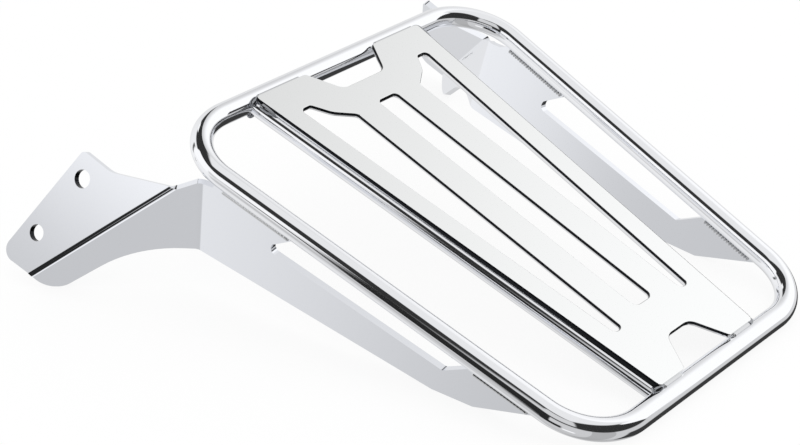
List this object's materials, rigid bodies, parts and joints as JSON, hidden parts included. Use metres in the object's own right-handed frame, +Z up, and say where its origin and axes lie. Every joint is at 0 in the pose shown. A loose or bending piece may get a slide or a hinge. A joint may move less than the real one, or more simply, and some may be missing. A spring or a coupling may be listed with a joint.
{
  "type": "motorcycle luggage rack",
  "caption": "Tapered tube hoop with a slotted deck plate on inner rods, carried by bent plate brackets whose tilted ears bolt to a motorcycle's fender struts.",
  "frame": {"origin": "midway between the centres of the two upper ear holes", "axes": "+X is the machine's right, +Y its front, +Z up, with the hoop level as mounted"},
  "size_m": [0.363, 0.349, 0.1171],
  "materials": {
    "hoop": "bright chrome plating on steel tube",
    "rod": "bright chrome plating on steel rod",
    "plate": "bright chrome plating on steel plate",
    "bracket": "bright chrome plating on bent steel plate",
    "weld": "chrome plating over rippled weld metal"
  },
  "bodies": {
    "root": {"hoop": "hoop", "rod_left": "rod", "rod_right": "rod", "top_plate": "plate", "bracket_left": "bracket", "bracket_right": "bracket", "weld_rod_front_left": "weld", "weld_rod_front_right": "weld", "weld_rod_rear_left": "weld", "weld_rod_rear_right": "weld", "weld_tab_front_left": "weld", "weld_tab_front_right": "weld", "weld_tab_rear_left": "weld", "weld_tab_rear_right": "weld", "weld_plate_front_left": "weld", "weld_plate_front_right": "weld", "weld_bracket_front_left": "weld", "weld_bracket_front_right": "weld", "weld_bracket_rear_left": "weld", "weld_bracket_rear_right": "weld"}
  },
  "joints": []
}
